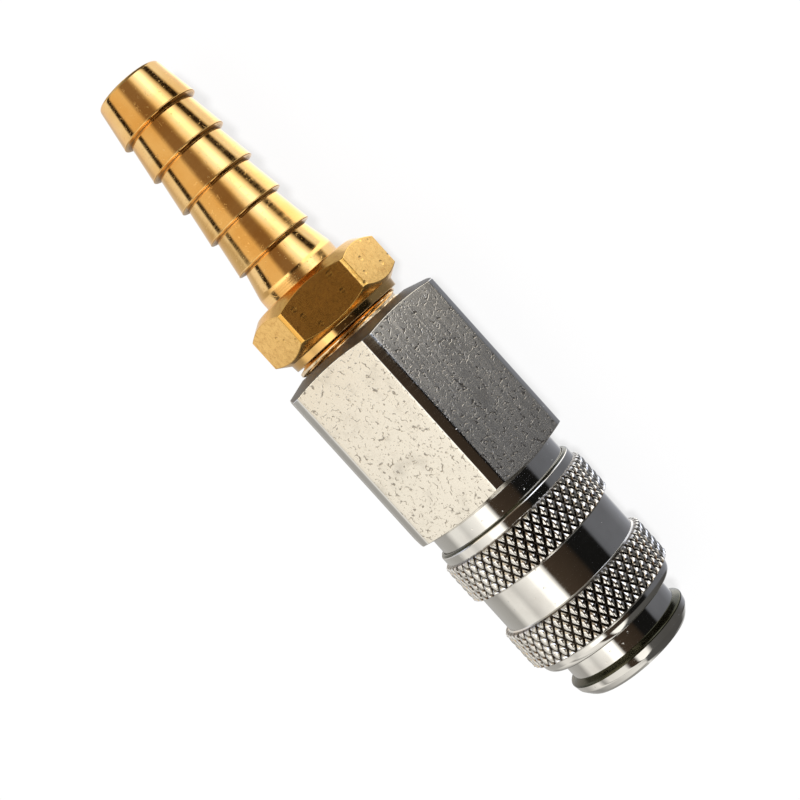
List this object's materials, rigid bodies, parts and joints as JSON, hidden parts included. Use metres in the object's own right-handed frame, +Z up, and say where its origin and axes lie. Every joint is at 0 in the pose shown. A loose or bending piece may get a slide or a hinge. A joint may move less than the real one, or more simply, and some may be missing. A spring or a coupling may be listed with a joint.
{
  "type": "hose tail coupling",
  "caption": "Quick-release air coupling: barbed brass hose tail screwed into a hexagon body with a knurled release sleeve, ball lock and shut-off valve.",
  "frame": {"origin": "on the axis, where the straight guide bore of the plug socket begins", "axes": "+X along the axis out of the plug socket, +Z up, the hexagon body lying on one of its flats"},
  "size_m": [0.0753, 0.0202, 0.018],
  "materials": {
    "brass_tail": "bright turned brass with fine tool marks, satin on the hexagon",
    "plated_hexagon": "nickel-plated hexagon bar, finely scratched, with small pits and dents",
    "bright_plate": "bright nickel plate on turned steel",
    "knurled_plate": "bright nickel plate, diamond knurled in two bands",
    "spring_wire": "drawn spring wire",
    "ball_steel": "polished bearing steel",
    "brass_valve": "plain turned brass",
    "seal_rubber": "black moulded rubber"
  },
  "bodies": {
    "coupler_body": {"hose_tail": "brass_tail", "hex_body": "plated_hexagon", "socket_body": "bright_plate", "body_gasket": "seal_rubber", "plug_seal": "seal_rubber", "spring_seat": "brass_valve", "valve_spring": "spring_wire"},
    "spring_coil": {"sleeve_spring": "spring_wire"},
    "release_sleeve": {"knurled_sleeve": "knurled_plate"},
    "valve": {"valve_poppet": "brass_valve", "poppet_seal": "seal_rubber"},
    "ball_1": {"locking_ball_1": "ball_steel"},
    "ball_2": {"locking_ball_2": "ball_steel"},
    "ball_3": {"locking_ball_3": "ball_steel"},
    "ball_4": {"locking_ball_4": "ball_steel"}
  },
  "joints": [
    {"name": "sleeve_slide", "type": "slide", "parent": "coupler_body", "child": "spring_coil", "axis": [-1, 0, 0], "range_m": [0, 0.00187], "stiffness_N_per_m": 1500, "springref_m": -0.002, "deforming": ["sleeve_spring"]},
    {"name": "sleeve_spin", "type": "hinge", "parent": "spring_coil", "child": "release_sleeve", "pos_m": [-0.012, 0, 0], "axis": [1, 0, 0], "continuous": true},
    {"name": "valve_slide", "type": "slide", "parent": "coupler_body", "child": "valve", "axis": [-1, 0, 0], "range_m": [0, 0.0024], "stiffness_N_per_m": 800, "springref_m": -0.0025, "deforming": ["valve_spring"]},
    {"name": "ball_1_slide", "type": "slide", "parent": "coupler_body", "child": "ball_1", "axis": [0, 0.7071, 0.7071], "range_m": [0, 0.00062]},
    {"name": "ball_2_slide", "type": "slide", "parent": "coupler_body", "child": "ball_2", "axis": [0, -0.7071, 0.7071], "range_m": [0, 0.00062]},
    {"name": "ball_3_slide", "type": "slide", "parent": "coupler_body", "child": "ball_3", "axis": [0, -0.7071, -0.7071], "range_m": [0, 0.00062]},
    {"name": "ball_4_slide", "type": "slide", "parent": "coupler_body", "child": "ball_4", "axis": [0, 0.7071, -0.7071], "range_m": [0, 0.00062]}
  ],
  "couplings": [
    {"joint": "ball_1_slide", "follows": "sleeve_slide", "ratio": 0.33},
    {"joint": "ball_2_slide", "follows": "sleeve_slide", "ratio": 0.33},
    {"joint": "ball_3_slide", "follows": "sleeve_slide", "ratio": 0.33},
    {"joint": "ball_4_slide", "follows": "sleeve_slide", "ratio": 0.33}
  ]
}
